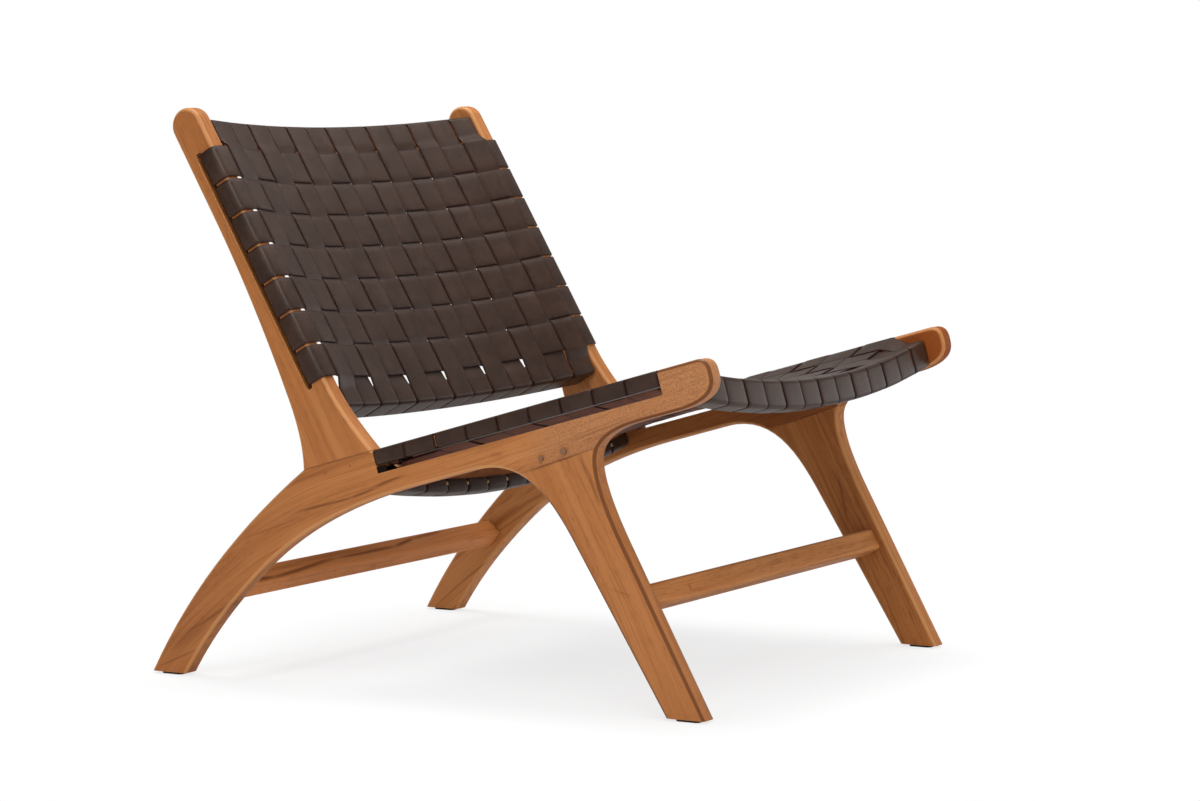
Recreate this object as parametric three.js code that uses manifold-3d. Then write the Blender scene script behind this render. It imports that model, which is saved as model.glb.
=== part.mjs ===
// A lounge chair: two solid teak side frames, tied by bars and stretchers,
// with a seat and a back woven from flat leather straps.
// X runs across the chair, the sitter's right at -X, the front at -Y, up is +Z.
import Module from 'manifold-3d';
import {
  Box3, BoxGeometry, BufferAttribute, BufferGeometry, Color, CubicBezierCurve, ExtrudeGeometry,
  Group, LineCurve, MathUtils, Matrix4, Mesh, MeshStandardMaterial, QuadraticBezierCurve, Shape,
  Vector2, Vector3,
} from 'three';
import { mergeVertices } from 'three/addons/utils/BufferGeometryUtils.js';

const wasm = await Module();
wasm.setup();

// Driving dimensions of the whole chair, in millimetres and degrees.
const frameWidth = 640;
const timber = 25;
const edgeRound = 5.5;
const fitGap = 0.3;
const overrun = 20;
const seatSlope = 15.4;
const backLean = 29.8;
// The corner is where the front edge of a post meets the top of its seat rail.
const cornerHeight = 290.4;

// Seat rail, measured along its slope from the corner and square to it.
const railLength = 468.5;
const railDepth = 54.2;
const noseDepth = 50.3;
const noseTopRound = 17;
const noseFlat = 5;
const noseUnderside = 54;
const railStraightStart = 40;
const archInset = 337.5;

// Front leg: insets are measured back from the nose, and heights from the floor.
const frontLegInset = 150.8;
const frontFootWidth = 51;
const frontLegLean = 28.4;
const frontLegRearLean = 31.7;
const frontLegStraight = 189.7;
const railBend = 60;
const legBendAbove = 30;
const legBendBelow = 71;
const legShoulder = 30.6;
const archFrontPull = 65;
const archRearPull = 72;
const legJointDepth = 68.8;
const legJointTilt = 2.6;
const legJointFrontInset = 138.5;
const legJointRearInset = 303.5;

// Rear leg, which is one piece with the seat rail.
const rearFootReach = 332.7;
const rearFootWidth = 52.3;
// Each pair is a share of the way from the upper point to the foot, level and then upright.
const rearTopPullShares = [0.656, 0.446];
const rearKneeShares = [0.651, 0.451];
const rearUpperPullShares = [0.407, 0.154];
const rearLowerPullShares = [0.877, 0.726];

// Back post, measured up its lean from the corner and square to it, to the rear.
const postSetback = 17;
const postWidth = 44.4;
const postLength = 486.4;
const flareDrop = 3;
const flarePullShare = 0.58;
const taperTopInset = 136.4;
const taperPullShare = 0.52;
const kneeHeight = 107.8;
const kneeDepth = 77.3;
const postFootLength = 100.6;
const postFootRise = 35;

// Loose tongues inside the joints of post and leg with the rail.
const tongueDepth = 18;
const tongueThickness = 9;
const postTongueLength = 56;
const legTongueLength = 48;

// Leather straps, with the room that the weave needs between two neighbours.
const leather = 2.2;
const strapGap = 4;
const weaveRoom = 0.9;
const seatStrapStart = 2;
const seatStrapInset = 66.9;
const seatCrossCount = 9;
const longCount = 13;
const weaveMargin = 2.5;
const backCrossCount = 7;
const strapEndInset = 2;
const strapShoulder = 0.5;
const postBend = 3;

// Slots that the strap ends pass through.
const railSlotTop = 16;
const railSlotBottom = 28.5;
const railSlotRound = 2;
const notchClear = 0.8;
const postSlotFront = 35.9;
const postSlotWidth = 9;
const postSlotClear = 2.5;

// Bars that carry the long straps. They are bowed away from the sitter.
const barRound = 4;
const seatBow = 27.5;
const seatSag = 40;
const seatSagMiddle = 33;
const seatSagPower = 2.5;
const frontBarInset = 27.5;
const frontBarDepth = 24;
const frontBarDrop = 14.5;
const rearBarFront = -16.5;
const rearBarDepth = 25;
const rearBarDrop = 12;
const seatBarHeight = 30;
const backBow = 24;
const backSag = 29.5;
const backSagPower = 2.4;
const backBarSetback = 22.5;
const topBarInset = 57.4;
const topBarGap = 4.2;
const topBarHeight = 33.5;
const topBarDepth = 24;
const lowBarLow = 70.5;
const lowBarGap = 8.5;
const lowBarHeight = 27;
const lowBarDepth = 35;
const lowBarRearBow = 19;
const tackFlap = 16;
const tenonRadius = 6;
const tenonLength = 14;

// Stretchers between the legs and glides under the feet.
const stretcherWidth = 28;
const stretcherThickness = 26;
const stretcherRound = 4;
const frontStretcherHeight = 131.5;
const frontStretcherShare = 0.427;
const rearStretcherTopShare = 0.545;
const rearStretcherUnderShare = 0.31;
const glideHeight = 3;
const glideLength = 30;
const glideBreadth = 15;
const glideCorner = 3;

const curveSteps = 14;
const roundSteps = 4;

const halfFrame = frameWidth / 2;
const innerHalf = halfFrame - timber;
const slope = MathUtils.degToRad(seatSlope);
const lean = MathUtils.degToRad(backLean);
const strapLift = leather / 2 + fitGap;
const rebate = leather + fitGap;
const longPitch = (innerHalf - weaveMargin) * 2 / longCount;
const seatStrapRun = railLength - seatStrapInset - seatStrapStart;
const topBarLow = postLength - topBarInset;
const backStrapStart = lowBarLow + lowBarHeight + lowBarGap;
const backStrapRun = topBarLow - topBarGap - backStrapStart;
const frontBarFront = railLength - frontBarInset;
const frontLegFront = (railLength - frontLegInset) * Math.cos(slope);

const teak = new MeshStandardMaterial({ color: new Color(0.72, 0.46, 0.27), roughness: 0.45, metalness: 0 });
const hide = new MeshStandardMaterial({ color: new Color(0.27, 0.22, 0.2), roughness: 0.5, metalness: 0 });
const nylon = new MeshStandardMaterial({ color: new Color(0.05, 0.05, 0.05), roughness: 0.8, metalness: 0 });

// Seat frame: first axis up the rail to the front, second square to it and down, third along X.
const seatFrame = new Matrix4().makeBasis(
  new Vector3(0, -Math.cos(slope), Math.sin(slope)),
  new Vector3(0, -Math.sin(slope), -Math.cos(slope)),
  new Vector3(1, 0, 0),
).setPosition(0, 0, cornerHeight);
// Back frame: first axis up the post, second square to it and to the rear, third along -X.
const backFrame = new Matrix4().makeBasis(
  new Vector3(0, Math.sin(lean), Math.cos(lean)),
  new Vector3(0, Math.cos(lean), -Math.sin(lean)),
  new Vector3(-1, 0, 0),
).setPosition(0, 0, cornerHeight);
// Side frame: an outline drawn in Y and Z, extruded along X.
const sideFrame = new Matrix4().makeBasis(
  new Vector3(0, 1, 0),
  new Vector3(0, 0, 1),
  new Vector3(1, 0, 0),
);

const seatPoint = (x, along, down) => new Vector3(along, down, x).applyMatrix4(seatFrame);
const backPoint = (x, up, rear) => new Vector3(up, rear, -x).applyMatrix4(backFrame);
const flat = (point) => new Vector2(point.y, point.z);
const seatOutline = (along, down) => flat(seatPoint(0, along, down));
const backOutline = (up, rear) => flat(backPoint(0, up, rear));

// Solids of manifold-3d, only for joining and cutting.
function toSolid(geometry) {
  const bare = geometry.clone();
  bare.deleteAttribute('normal');
  bare.deleteAttribute('uv');
  const merged = mergeVertices(bare);
  return new wasm.Manifold(new wasm.Mesh({
    numProp: 3,
    vertProperties: new Float32Array(merged.attributes.position.array),
    triVerts: new Uint32Array(merged.index.array),
  }));
}

function toGeometry(solid) {
  const mesh = solid.getMesh();
  const geometry = new BufferGeometry();
  geometry.setAttribute('position', new BufferAttribute(new Float32Array(mesh.vertProperties), 3));
  geometry.setIndex(new BufferAttribute(new Uint32Array(mesh.triVerts), 1));
  geometry.computeVertexNormals();
  return geometry;
}

// A closed skin through rings of equal count, each ring convex and capped as a fan at the ends.
function loft(rings) {
  const count = rings[0].length;
  const points = rings.flat();
  const last = (rings.length - 1) * count;
  const faces = [];
  for (let ring = 0; ring < last; ring += count) {
    for (let corner = 0; corner < count; corner += 1) {
      const next = (corner + 1) % count;
      faces.push(ring + corner, ring + next, ring + count + next);
      faces.push(ring + corner, ring + count + next, ring + count + corner);
    }
  }
  for (let corner = 1; corner < count - 1; corner += 1) {
    faces.push(0, corner + 1, corner);
    faces.push(last, last + corner, last + corner + 1);
  }
  const geometry = new BufferGeometry().setFromPoints(points);
  geometry.setIndex(signedVolume(points, faces) < 0 ? faces.reverse() : faces);
  geometry.computeVertexNormals();
  return geometry;
}

function signedVolume(points, faces) {
  const cross = new Vector3();
  let sum = 0;
  for (let face = 0; face < faces.length; face += 3) {
    cross.crossVectors(points[faces[face + 1]], points[faces[face + 2]]);
    sum += points[faces[face]].dot(cross);
  }
  return sum;
}

function mirrored(geometry) {
  const copy = geometry.clone().scale(-1, 1, 1);
  copy.setIndex(new BufferAttribute(new Uint32Array(copy.index.array).reverse(), 1));
  copy.computeVertexNormals();
  return copy;
}

// A point between two others, with its own share of the way for each direction.
function between(start, end, [levelShare, uprightShare]) {
  return new Vector2(
    MathUtils.lerp(start.x, end.x, levelShare),
    MathUtils.lerp(start.y, end.y, uprightShare),
  );
}

// Outline of a whole side frame in Y and Z.
const footLevel = glideHeight;
const cutLevel = footLevel - overrun;
const frontTan = Math.tan(MathUtils.degToRad(frontLegLean));
const frontRearTan = Math.tan(MathUtils.degToRad(frontLegRearLean));
// The front edge of the leg turns twice: at its bend under the rail, and at its shoulder.
const noseUnder = seatOutline(railLength - noseUnderside, noseDepth);
const legBend = new Vector2(-frontLegFront, noseUnder.y + (noseUnder.x + frontLegFront) * Math.tan(slope));
const legShoulderPoint = new Vector2(-frontLegFront, legBend.y - legBendAbove - legShoulder);
const frontFootReach = frontLegFront + (legShoulderPoint.y - footLevel) * frontTan;
const frontEdge = (height) => (height - footLevel) * frontTan - frontFootReach;
const frontRearEdge = (height) => (height - footLevel) * frontRearTan - frontFootReach + frontFootWidth;

const corner = seatOutline(0, 0);
const postHeel = new Vector2(postFootLength, cornerHeight - postFootLength * Math.tan(slope));
const rearFootFront = new Vector2(rearFootReach - rearFootWidth, footLevel);
const rearFootRear = new Vector2(rearFootReach, footLevel);
const railUnder = seatOutline(railStraightStart, railDepth);
const rearKnee = between(railUnder, rearFootFront, rearKneeShares);
const rearTopCurve = new QuadraticBezierCurve(
  rearFootRear,
  between(postHeel, rearFootRear, rearTopPullShares),
  postHeel,
);
const rearUnderCurve = new QuadraticBezierCurve(
  rearKnee,
  between(railUnder, rearFootFront, rearLowerPullShares),
  rearFootFront,
);

// A foot's edge runs on in its own direction to the cut below the foot.
function belowFoot(foot, tangent) {
  return foot.clone().addScaledVector(tangent, (cutLevel - foot.y) / tangent.y);
}

function frontLegRearCurves() {
  const foot = new Vector2(frontRearEdge(cutLevel), cutLevel);
  const start = new Vector2(frontRearEdge(frontLegStraight), frontLegStraight);
  const end = seatOutline(railLength - archInset, railDepth);
  const up = new Vector2(start.x + archFrontPull * Math.sin(Math.atan(frontRearTan)),
    start.y + archFrontPull * Math.cos(Math.atan(frontRearTan)));
  const down = seatOutline(railLength - archInset + archRearPull, railDepth);
  return [new LineCurve(foot, start), new CubicBezierCurve(start, up, down, end)];
}

function rearLegCurves() {
  const underPull = between(railUnder, rearFootFront, rearUpperPullShares);
  const frontEnd = belowFoot(rearFootFront, rearUnderCurve.getTangent(1));
  const rearEnd = belowFoot(rearFootRear, rearTopCurve.getTangent(0));
  return [
    new LineCurve(seatOutline(railLength - archInset, railDepth), railUnder),
    new QuadraticBezierCurve(railUnder, underPull, rearKnee),
    rearUnderCurve,
    new LineCurve(rearFootFront, frontEnd),
    new LineCurve(rearEnd, rearFootRear),
    rearTopCurve,
  ];
}

function postCurves() {
  const rear = postSetback + postWidth;
  const round = postWidth / 2;
  const topCentre = postLength - round;
  const taperTop = postLength - taperTopInset;
  const flareHeight = backStrapStart - flareDrop;
  const knee = backOutline(kneeHeight, kneeDepth);
  const kneePull = backOutline(MathUtils.lerp(kneeHeight, taperTop, taperPullShare), rear);
  const heelPull = new Vector2(postHeel.x, postHeel.y + postFootRise);
  const top = backOutline(postLength, postSetback + round);
  const shoulderShare = 0.5523;
  const shoulder = round * shoulderShare;
  return [
    new QuadraticBezierCurve(postHeel, heelPull, knee),
    new QuadraticBezierCurve(knee, kneePull, backOutline(taperTop, rear)),
    new LineCurve(backOutline(taperTop, rear), backOutline(topCentre, rear)),
    new CubicBezierCurve(backOutline(topCentre, rear), backOutline(topCentre + shoulder, rear),
      backOutline(postLength, postSetback + round + shoulder), top),
    new CubicBezierCurve(top, backOutline(postLength, postSetback + round - shoulder),
      backOutline(topCentre + shoulder, postSetback), backOutline(topCentre, postSetback)),
    new LineCurve(backOutline(topCentre, postSetback), backOutline(flareHeight, postSetback)),
    new QuadraticBezierCurve(backOutline(flareHeight, postSetback),
      backOutline(flareHeight * flarePullShare, postSetback), corner),
  ];
}

function noseAndLegCurves() {
  const roundEnd = seatOutline(railLength, noseTopRound);
  const flatEnd = seatOutline(railLength, noseTopRound + noseFlat);
  const underEnd = new Vector2(legBend.x - railBend * Math.cos(slope),
    legBend.y + railBend * Math.sin(slope));
  const legTop = new Vector2(legBend.x, legBend.y - legBendAbove);
  const legStraightHeight = legShoulderPoint.y - legBendBelow * Math.cos(Math.atan(frontTan));
  const legStraight = new Vector2(frontEdge(legStraightHeight), legStraightHeight);
  return [
    new LineCurve(corner, seatOutline(railLength - noseTopRound, 0)),
    new QuadraticBezierCurve(seatOutline(railLength - noseTopRound, 0),
      seatOutline(railLength, 0), roundEnd),
    new LineCurve(roundEnd, flatEnd),
    new QuadraticBezierCurve(flatEnd, seatOutline(railLength, noseDepth), noseUnder),
    new LineCurve(noseUnder, underEnd),
    new QuadraticBezierCurve(underEnd, legBend, legTop),
    new QuadraticBezierCurve(legTop, legShoulderPoint, legStraight),
    new LineCurve(legStraight, new Vector2(frontEdge(cutLevel), cutLevel)),
  ];
}

function sideShape() {
  const curves = [
    ...frontLegRearCurves(), ...rearLegCurves(), ...postCurves(), ...noseAndLegCurves(),
  ];
  const points = [];
  for (const curve of curves) {
    const steps = curve instanceof LineCurve ? 1 : curveSteps;
    for (const point of curve.getPoints(steps)) {
      const previous = points[points.length - 1];
      if (!previous || previous.distanceTo(point) > fitGap) points.push(point);
    }
  }
  return new Shape(points);
}

// A block in one of the leaning frames, from its low corner to its high corner.
function block(frame, low, high) {
  const size = high.clone().sub(low);
  const middle = low.clone().add(high).multiplyScalar(0.5);
  const geometry = new BoxGeometry(size.x, size.y, size.z);
  geometry.translate(middle.x, middle.y, middle.z);
  return toSolid(geometry.applyMatrix4(frame));
}

// A slot with round ends that passes through the timber of the right side.
function slot(frame, start, end, near, far, round, side) {
  const shape = new Shape();
  shape.moveTo(start + round, near);
  shape.lineTo(end - round, near);
  shape.quadraticCurveTo(end, near, end, near + round);
  shape.lineTo(end, far - round);
  shape.quadraticCurveTo(end, far, end - round, far);
  shape.lineTo(start + round, far);
  shape.quadraticCurveTo(start, far, start, far - round);
  shape.lineTo(start, near + round);
  shape.quadraticCurveTo(start, near, start + round, near);
  const depth = timber + overrun;
  const geometry = new ExtrudeGeometry(shape, { depth, bevelEnabled: false, curveSegments: 3 });
  geometry.translate(0, 0, side * (halfFrame - timber / 2) - depth / 2);
  return toSolid(geometry.applyMatrix4(frame));
}

const legJointMiddle = railLength - (legJointFrontInset + legJointRearInset) / 2;
const legJointHalf = (legJointRearInset - legJointFrontInset) / 2;
const legJointAt = seatPoint(0, legJointMiddle, legJointDepth);
const legJointFrame = seatFrame.clone()
  .multiply(new Matrix4().makeRotationZ(-MathUtils.degToRad(legJointTilt)))
  .setPosition(legJointAt);
const xLow = -halfFrame - overrun;
const xHigh = -innerHalf + overrun;
const middleX = -halfFrame + timber / 2;

// Tongue of a joint, and its mortise with the fit clearance all round.
function tongue(frame, centre, length, direction, clearance) {
  const low = new Vector3(centre - length / 2 - clearance,
    Math.min(0, direction) * (tongueDepth + clearance) - overrun * Math.max(0, direction) / 2,
    middleX - tongueThickness / 2 - clearance);
  const high = new Vector3(centre + length / 2 + clearance,
    Math.max(0, direction) * (tongueDepth + clearance) - overrun * Math.min(0, direction) / 2,
    middleX + tongueThickness / 2 + clearance);
  return block(frame, low, high);
}

// Right side frame, cut into back post, seat rail with rear leg, and front leg.
function rightSide(sockets) {
  const blank = new ExtrudeGeometry(sideShape(), {
    depth: timber - edgeRound - edgeRound,
    bevelThickness: edgeRound,
    bevelSize: edgeRound,
    bevelOffset: -edgeRound,
    bevelSegments: roundSteps,
  });
  blank.applyMatrix4(sideFrame).translate(edgeRound - halfFrame, 0, 0);
  const reach = railLength + postLength;
  const floorCut = toSolid(new BoxGeometry(frameWidth, reach + reach, overrun + overrun)
    .translate(-halfFrame, 0, footLevel - overrun));
  let whole = toSolid(blank).subtract(floorCut);
  for (const socket of sockets) whole = whole.subtract(socket);

  const aboveRail = (level) => block(seatFrame,
    new Vector3(-reach, -reach, xLow), new Vector3(overrun, level, xHigh));
  const legRegion = (level) => block(legJointFrame,
    new Vector3(-legJointHalf, level, xLow), new Vector3(reach, reach, xHigh));
  const postTongueAt = -postFootLength / 2;
  const postTongue = tongue(seatFrame, postTongueAt, postTongueLength, 1, 0);
  const postMortise = tongue(seatFrame, postTongueAt, postTongueLength, 1, fitGap);
  const legTongue = tongue(legJointFrame, 0, legTongueLength, -1, 0);
  const legMortise = tongue(legJointFrame, 0, legTongueLength, -1, fitGap);

  const start = seatStrapStart;
  const end = seatStrapStart + seatStrapRun;
  const notchTop = block(seatFrame, new Vector3(start - notchClear, -overrun, xLow),
    new Vector3(end + notchClear, rebate, xHigh));
  const notchSide = block(seatFrame, new Vector3(start - notchClear, -overrun, xLow),
    new Vector3(end + notchClear, railSlotBottom, rebate - halfFrame));
  const railSlot = slot(seatFrame, start - notchClear, end + notchClear,
    railSlotTop, railSlotBottom, railSlotRound, -1);
  const postSlot = slot(backFrame, backStrapStart - postSlotClear,
    backStrapStart + backStrapRun + postSlotClear, postSlotFront, postSlotFront + postSlotWidth,
    postSlotWidth / 2, 1);

  const postBody = whole.intersect(aboveRail(-fitGap)).subtract(postSlot);
  const legBody = whole.intersect(legRegion(fitGap));
  const rail = whole.subtract(aboveRail(0)).subtract(legRegion(0))
    .subtract(notchTop).subtract(notchSide).subtract(railSlot)
    .subtract(postMortise).subtract(legMortise);
  return {
    back_post: toGeometry(postBody.add(postTongue)),
    seat_rail: toGeometry(rail),
    front_leg: toGeometry(legBody.add(legTongue)),
  };
}

// Section of a bar or a stretcher: a rectangle with its corners rounded in a few steps.
function sectionPoints(low, high, round, steps) {
  const corners = [
    [high.x - round, low.y + round], [high.x - round, high.y - round],
    [low.x + round, high.y - round], [low.x + round, low.y + round],
  ];
  return corners.flatMap(([x, y], corner) => Array.from({ length: steps + 1 }, (_, step) => {
    const angle = (corner - 1 + step / steps) * Math.PI / 2;
    return new Vector2(x + round * Math.cos(angle), y + round * Math.sin(angle));
  }));
}

function tenonPoints(centre, radius, steps) {
  const count = 4 * (steps + 1);
  return Array.from({ length: count }, (_, step) => {
    const angle = (step + 0.5) * Math.PI * 2 / count - Math.PI / 2;
    return new Vector2(centre.x + radius * Math.cos(angle), centre.y + radius * Math.sin(angle));
  });
}

// A bar is lofted across the chair: tenon, shoulder, bowed length, shoulder, tenon.
function barGeometry(bar) {
  const shoulder = innerHalf - fitGap;
  const tip = innerHalf + tenonLength;
  const ring = (x, points) => points.map((point) => bar.place(x, point.x, point.y));
  const full = (x) => ring(x, sectionPoints(bar.low(x), bar.high(x), bar.round, bar.steps));
  const centre = bar.low(shoulder).add(bar.high(shoulder)).multiplyScalar(0.5);
  const tenon = (x) => ring(x, tenonPoints(centre, tenonRadius, bar.steps));
  const rings = [tenon(-tip), tenon(-shoulder), full(-shoulder)];
  if (bar.bowed) {
    for (let edge = 1; edge < longCount; edge += 1) {
      rings.push(full((edge - longCount / 2) * longPitch));
    }
  }
  rings.push(full(shoulder), tenon(shoulder), tenon(tip));
  return loft(rings);
}

function socket(bar) {
  const centre = bar.low(innerHalf).add(bar.high(innerHalf)).multiplyScalar(0.5);
  const points = tenonPoints(centre, tenonRadius + fitGap + fitGap, bar.steps);
  const ring = (x) => points.map((point) => bar.place(x, point.x, point.y));
  return toSolid(loft([ring(overrun - innerHalf), ring(-innerHalf - tenonLength - fitGap)]));
}

const sagShare = (x, power) => 1 - Math.min(1, Math.abs(x) / innerHalf) ** power;
const seatBowAt = (x) => seatBow * sagShare(x, 2);
const backBowAt = (x) => backBow * sagShare(x, 2);
// Middle surface of the weave where straps cross, at the level of rail and post at the sides.
const seatSagAt = (along) => seatSag
  + (seatSagMiddle - seatSag) * Math.sin(Math.PI * (along - seatStrapStart) / seatStrapRun);
const seatWeaveAt = (x, along) => leather / 2 + seatSagAt(along) * sagShare(x, seatSagPower);
const backWeaveAt = (x) => postSetback - strapLift + backSag * sagShare(x, backSagPower);

const seatBar = (front, depth, drop) => ({
  bowed: true,
  round: barRound,
  steps: 1,
  place: seatPoint,
  low: (x) => new Vector2(front - depth, drop + seatBowAt(x)),
  high: (x) => new Vector2(front, drop + seatBarHeight + seatBowAt(x)),
});
const backBar = (low, height, depth, rearBow) => ({
  bowed: true,
  round: barRound,
  steps: 1,
  place: backPoint,
  low: (x) => new Vector2(low, backBarSetback + backBowAt(x)),
  high: (x) => new Vector2(low + height, backBarSetback + depth + rearBow * sagShare(x, 2)),
});

// The wide faces of a stretcher lie along its leg.
function stretcher(centre, tilt) {
  const halfWidth = stretcherWidth / 2;
  const halfThickness = stretcherThickness / 2;
  const turn = (x, along, across) => new Vector3(x,
    centre.x + along * Math.cos(tilt) - across * Math.sin(tilt),
    centre.y + along * Math.sin(tilt) + across * Math.cos(tilt));
  return {
    bowed: false,
    round: stretcherRound,
    steps: roundSteps,
    place: turn,
    low: () => new Vector2(-halfThickness, -halfWidth),
    high: () => new Vector2(halfThickness, halfWidth),
  };
}

function frontStretcher() {
  const front = frontEdge(frontStretcherHeight);
  const rear = frontRearEdge(frontStretcherHeight);
  const centre = new Vector2(front + (rear - front) * frontStretcherShare, frontStretcherHeight);
  return stretcher(centre, -MathUtils.degToRad((frontLegLean + frontLegRearLean) / 2));
}

function rearStretcher() {
  const top = rearTopCurve.getPoint(1 - rearStretcherTopShare);
  const under = rearUnderCurve.getPoint(rearStretcherUnderShare);
  const across = top.clone().sub(under);
  return stretcher(top.add(under).multiplyScalar(0.5), Math.atan2(across.y, across.x));
}

const bars = {
  back_top_bar: backBar(topBarLow, topBarHeight, topBarDepth, backBow),
  back_bottom_bar: backBar(lowBarLow, lowBarHeight, lowBarDepth, lowBarRearBow),
  seat_front_bar: seatBar(frontBarFront, frontBarDepth, frontBarDrop),
  seat_rear_bar: seatBar(rearBarFront, rearBarDepth, rearBarDrop),
  front_stretcher: frontStretcher(),
  rear_stretcher: rearStretcher(),
};

// Both faces of a strap along its middle line, mitred where the line turns.
function offsetPath(path, distance) {
  return path.map((point, index) => {
    const before = path[Math.max(0, index - 1)];
    const after = path[Math.min(path.length - 1, index + 1)];
    const inward = point.clone().sub(before).normalize();
    const outward = after.clone().sub(point).normalize();
    if (index === 0) inward.copy(outward);
    if (index === path.length - 1) outward.copy(inward);
    const middle = inward.clone().add(outward).normalize();
    const stretch = 1 / middle.dot(inward);
    return new Vector2(point.x - middle.y * distance * stretch, point.y + middle.x * distance * stretch);
  });
}

// A strap is ruled between the middle lines of its two edges.
function strapGeometry(edges) {
  const half = leather / 2;
  const faces = edges.map(({ path, place }) => ({
    outer: offsetPath(path, half).map(place),
    inner: offsetPath(path, -half).map(place),
  }));
  const rings = faces[0].outer.map((point, index) => [
    point, faces[1].outer[index], faces[1].inner[index], faces[0].inner[index],
  ]);
  return loft(rings);
}

// Side by side pillows: over one crossing, under the next.
const weaveLift = leather / 2 + weaveRoom / 2;
const isOver = (row, column) => (row + column) % 2 === 1;
const columnAt = (column) => (column - (longCount + 1) / 2) * longPitch;
const halfLong = (longPitch - strapGap) / 2;

// Middle line of a cross strap, from the slot of one side frame to the slot of the other.
function crossPath(row, weaveAt, ends) {
  const half = [...ends];
  const points = half.map(([x, level]) => new Vector2(-x, level));
  for (let column = 1; column <= longCount; column += 1) {
    const lift = isOver(row, column) ? -weaveLift : weaveLift;
    for (const edge of [-halfLong, halfLong]) {
      const x = columnAt(column) + edge;
      points.push(new Vector2(x, weaveAt(x) + lift));
    }
  }
  for (const [x, level] of half.reverse()) points.push(new Vector2(x, level));
  return points;
}

const backRowPitch = backStrapRun / backCrossCount;
const backRowAt = (row) => backStrapStart + backStrapRun - (row - 0.5) * backRowPitch;
const seatRowPitch = seatStrapRun / seatCrossCount;
const seatRowAt = (row) => seatStrapStart + (row - 0.5) * seatRowPitch;

function backCrossStrap(row) {
  const slotLine = postSlotFront + strapLift;
  const face = postSetback - strapLift;
  const side = halfFrame + strapLift;
  const ends = [
    [innerHalf + strapEndInset, slotLine], [side, slotLine], [side, face + postBend],
    [side - postBend, face], [innerHalf - strapShoulder, face],
  ];
  const path = crossPath(row, backWeaveAt, ends);
  const half = (backRowPitch - strapGap) / 2;
  return strapGeometry([-half, half].map((edge) => ({
    path,
    place: (point) => backPoint(point.x, backRowAt(row) + edge, point.y),
  })));
}

function seatCrossStrap(row) {
  const slotLine = railSlotTop + strapLift;
  const face = leather / 2;
  const side = halfFrame - leather / 2;
  const ends = [
    [innerHalf + strapEndInset, slotLine], [side, slotLine], [side, face],
    [innerHalf - strapShoulder, face],
  ];
  const path = crossPath(row, (x) => seatWeaveAt(x, seatRowAt(row)), ends);
  const half = (seatRowPitch - strapGap) / 2;
  return strapGeometry([-half, half].map((edge) => ({
    path,
    place: (point) => seatPoint(point.x, seatRowAt(row) + edge, point.y),
  })));
}

// The line that a strap takes round a bar, from its tacked end to where it leaves for the weave.
function barLoop(low, high, flip) {
  const out = strapLift;
  const bend = barRound + out * (1 - Math.tan(Math.PI / 8));
  const left = low.x - out;
  const right = high.x + out;
  const near = low.y - out;
  const far = high.y + out;
  const points = [
    [flip > 0 ? right : left, far - tackFlap],
    [flip > 0 ? right : left, far - bend], [flip > 0 ? right - bend : left + bend, far],
    [flip > 0 ? left + bend : right - bend, far], [flip > 0 ? left : right, far - bend],
    [flip > 0 ? left : right, near + bend], [flip > 0 ? left + bend : right - bend, near],
    [flip > 0 ? right - bend : left + bend, near],
  ];
  return points.map(([x, y]) => new Vector2(x, y));
}

function longSeatPath(column, x) {
  const rear = bars.seat_rear_bar;
  const front = bars.seat_front_bar;
  const points = barLoop(rear.low(x), rear.high(x), 1);
  const half = (seatRowPitch - strapGap) / 2;
  for (let row = 1; row <= seatCrossCount; row += 1) {
    const lift = isOver(row, column) ? weaveLift : -weaveLift;
    for (const edge of [-half, half]) {
      points.push(new Vector2(seatRowAt(row) + edge, seatWeaveAt(x, seatRowAt(row)) + lift));
    }
  }
  return points.concat(barLoop(front.low(x), front.high(x), -1).reverse());
}

function seatLongStrap(column) {
  return strapGeometry([-halfLong, halfLong].map((edge) => {
    const x = columnAt(column) + edge;
    return { path: longSeatPath(column, x), place: (point) => seatPoint(x, point.x, point.y) };
  }));
}

// Round a back bar the strap ends on the rear face, so its line starts there.
function backLoop(low, high, flip) {
  const out = strapLift;
  const bend = barRound + out * (1 - Math.tan(Math.PI / 8));
  const near = low.y - out;
  const far = high.y + out;
  const outside = flip > 0 ? high.x + out : low.x - out;
  const inside = flip > 0 ? low.x + barRound : high.x - barRound;
  const points = [
    [outside - flip * tackFlap, far], [outside - flip * bend, far], [outside, far - bend],
    [outside, near + bend], [outside - flip * bend, near], [inside, near],
  ];
  return points.map(([x, y]) => new Vector2(x, y));
}

function uprightPath(column, x) {
  const top = bars.back_top_bar;
  const low = bars.back_bottom_bar;
  const points = backLoop(top.low(x), top.high(x), 1);
  const half = (backRowPitch - strapGap) / 2;
  for (let row = 1; row <= backCrossCount; row += 1) {
    const lift = isOver(row, column) ? weaveLift : -weaveLift;
    for (const edge of [half, -half]) {
      points.push(new Vector2(backRowAt(row) + edge, backWeaveAt(x) + lift));
    }
  }
  return points.concat(backLoop(low.low(x), low.high(x), -1).reverse());
}

function backUprightStrap(column) {
  return strapGeometry([-halfLong, halfLong].map((edge) => {
    const x = columnAt(column) + edge;
    return { path: uprightPath(column, x), place: (point) => backPoint(x, point.x, point.y) };
  }));
}

// A glide is a flat pad with its upright corners taken off.
function glideGeometry(y) {
  const low = new Vector2(-halfFrame + (timber - glideBreadth) / 2, y - glideLength / 2);
  const high = new Vector2(low.x + glideBreadth, y + glideLength / 2);
  const ring = (z) => sectionPoints(low, high, glideCorner, 1).map((p) => new Vector3(p.x, p.y, z));
  return loft([ring(0), ring(glideHeight - fitGap)]);
}

const chair = new Group();

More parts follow.
